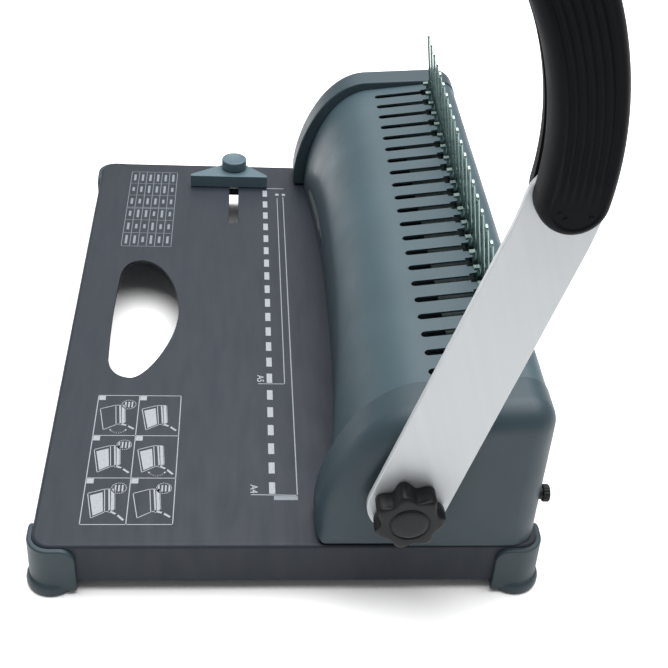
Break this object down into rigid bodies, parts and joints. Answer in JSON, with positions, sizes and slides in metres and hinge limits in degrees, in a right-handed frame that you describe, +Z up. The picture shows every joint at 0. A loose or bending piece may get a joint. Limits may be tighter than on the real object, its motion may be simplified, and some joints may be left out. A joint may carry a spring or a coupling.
{
  "type": "comb binding machine",
  "caption": "Desk comb binding machine: a side lever drives a row of 21 rectangular punches and a hooked slide that opens binding rings; folded base with hand hole and paper guide.",
  "frame": {"origin": "centre of the machine's outline, lever knob included, on the table top it stands on", "axes": "+X along the machine towards the lever side, +Y from the paper side to the rear, +Z up"},
  "size_m": [0.3868, 0.244, 0.3279],
  "materials": {
    "base_paint": "fine matt powder coat, slate grey",
    "cover_plastic": "moulded plastic, fine satin texture, blue grey",
    "boot_plastic": "moulded plastic, satin, dark grey",
    "guide_plastic": "moulded plastic, satin, light blue grey",
    "lever_silver": "satin silver finish",
    "grip_black": "moulded plastic, satin, black",
    "tray_black": "moulded plastic, matt, black",
    "zinc_plate": "bright zinc plated sheet steel",
    "tool_steel": "ground tool steel",
    "frame_steel": "plain rolled steel",
    "fastener_zinc": "bright zinc plated",
    "spring_wire": "drawn spring wire",
    "bush_brass": "plain turned brass"
  },
  "bodies": {
    "chassis": {"base_plate": "base_paint", "corner_boot_front_right": "boot_plastic", "corner_boot_rear_right": "boot_plastic", "corner_boot_front_left": "boot_plastic", "corner_boot_rear_left": "boot_plastic", "front_cover": "cover_plastic", "rear_cover": "cover_plastic", "end_cap_left": "cover_plastic", "end_cap_right": "cover_plastic", "rear_screw_left": "fastener_zinc", "rear_screw_right": "fastener_zinc", "side_frame_left": "frame_steel", "side_frame_right": "frame_steel", "shaft_bush_left": "bush_brass", "shaft_bush_right": "bush_brass", "die_plate": "tool_steel", "punch_guide_plate": "tool_steel", "fixed_comb": "zinc_plate", "tray_channel": "frame_steel", "return_spring_left": "spring_wire", "return_spring_right": "spring_wire"},
    "lever": {"lever_bar": "lever_silver", "grip_shell_outer": "grip_black", "grip_shell_inner": "grip_black", "lever_collar": "frame_steel", "main_shaft": "frame_steel", "punch_cam_left": "frame_steel", "punch_cam_right": "frame_steel", "opener_crank_left": "frame_steel", "opener_crank_right": "frame_steel"},
    "clamp_knob": {"star_knob": "grip_black"},
    "punch": {"punch_bar": "frame_steel", "punch_pin_01": "tool_steel", "punch_pin_02": "tool_steel", "punch_pin_03": "tool_steel", "punch_pin_04": "tool_steel", "punch_pin_05": "tool_steel", "punch_pin_06": "tool_steel", "punch_pin_07": "tool_steel", "punch_pin_08": "tool_steel", "punch_pin_09": "tool_steel", "punch_pin_10": "tool_steel", "punch_pin_11": "tool_steel", "punch_pin_12": "tool_steel", "punch_pin_13": "tool_steel", "punch_pin_14": "tool_steel", "punch_pin_15": "tool_steel", "punch_pin_16": "tool_steel", "punch_pin_17": "tool_steel", "punch_pin_18": "tool_steel", "punch_pin_19": "tool_steel", "punch_pin_20": "tool_steel", "punch_pin_21": "tool_steel"},
    "opener": {"opener_slide": "zinc_plate"},
    "edge_guide": {"paper_guide": "guide_plastic", "guide_bolt": "fastener_zinc"},
    "guide_knob_body": {"guide_knob": "guide_plastic"},
    "tray": {"chip_tray": "tray_black"},
    "margin_adjuster": {"margin_screw": "grip_black"},
    "stop": {"back_stop": "zinc_plate"}
  },
  "joints": [
    {"name": "lever_hinge", "type": "hinge", "parent": "chassis", "child": "lever", "pos_m": [-0.0089, 0.0513, 0.0646], "axis": [1, 0, 0], "range_deg": [0, 90]},
    {"name": "clamp_knob_spin", "type": "hinge", "parent": "lever", "child": "clamp_knob", "pos_m": [0.1861, 0.0513, 0.0646], "axis": [1, 0, 0], "continuous": true},
    {"name": "punch_slide", "type": "slide", "parent": "chassis", "child": "punch", "axis": [0, 0, -1], "range_m": [0, 0.011], "stiffness_N_per_m": 1200, "springref_m": -0.008, "deforming": ["return_spring_left", "return_spring_right"]},
    {"name": "opener_slide_travel", "type": "slide", "parent": "chassis", "child": "opener", "axis": [0, -0.9894, -0.1452], "range_m": [0, 0.026]},
    {"name": "edge_guide_slide", "type": "slide", "parent": "chassis", "child": "edge_guide", "axis": [1, 0, 0], "range_m": [0, 0.053]},
    {"name": "guide_knob_spin", "type": "hinge", "parent": "edge_guide", "child": "guide_knob_body", "pos_m": [-0.1714, -0.028, 0.042], "axis": [0, 0, 1], "continuous": true},
    {"name": "tray_slide", "type": "slide", "parent": "chassis", "child": "tray", "axis": [-1, 0, 0], "range_m": [0, 0.2]},
    {"name": "margin_screw_turn", "type": "hinge", "parent": "chassis", "child": "margin_adjuster", "pos_m": [0.1626, 0.119, 0.055], "axis": [0, 1, 0], "range_deg": [0, 360]},
    {"name": "back_stop_slide", "type": "slide", "parent": "chassis", "child": "stop", "axis": [0, -1, 0], "range_m": [0, 0.003]}
  ],
  "couplings": [
    {"joint": "punch_slide", "follows": "lever_hinge", "m_per_rad": 0.0070028},
    {"joint": "opener_slide_travel", "follows": "lever_hinge", "m_per_rad": 0.016552},
    {"joint": "margin_screw_turn", "follows": "back_stop_slide", "rad_per_m": 2094.4}
  ]
}
